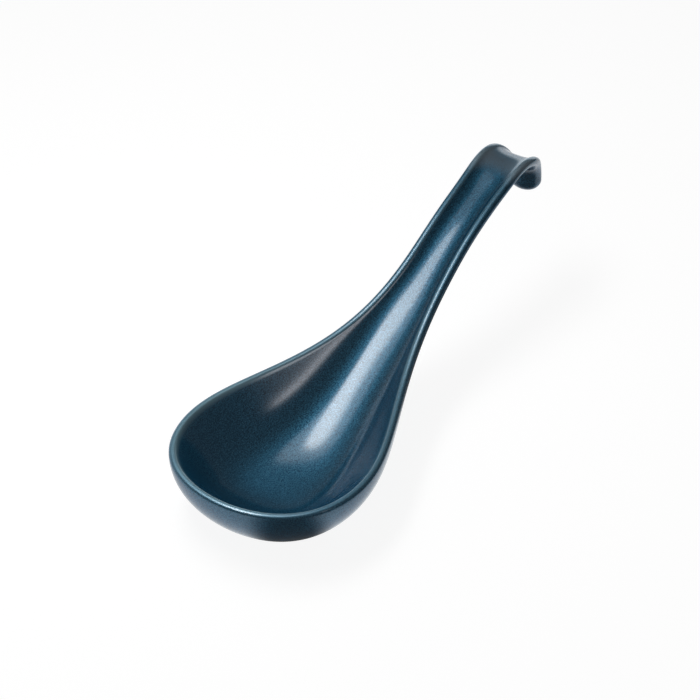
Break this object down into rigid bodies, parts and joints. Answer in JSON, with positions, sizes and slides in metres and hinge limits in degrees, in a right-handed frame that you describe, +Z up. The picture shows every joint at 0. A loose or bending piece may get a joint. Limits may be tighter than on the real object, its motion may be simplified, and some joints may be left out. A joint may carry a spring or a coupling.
{
  "type": "soup spoon",
  "caption": "Deep egg-shaped porcelain soup spoon with a rounded lip, a long troughed handle that rises from the bowl, and a hook at its end that hangs on a rim.",
  "frame": {"origin": "centre of the ground foot's underside, on the surface that the spoon stands on", "axes": "+X along the spoon from the bowl to the handle, +Y across it, +Z up"},
  "size_m": [0.1506, 0.0544, 0.0464],
  "materials": {
    "porcelain": "bare fired clay, fine and matt, ground flat at the foot",
    "glaze": "satin navy glaze with fine pale specks, thinner and paler on the lip"
  },
  "bodies": {
    "root": {"porcelain_body": "porcelain", "glaze": "glaze"}
  },
  "joints": []
}
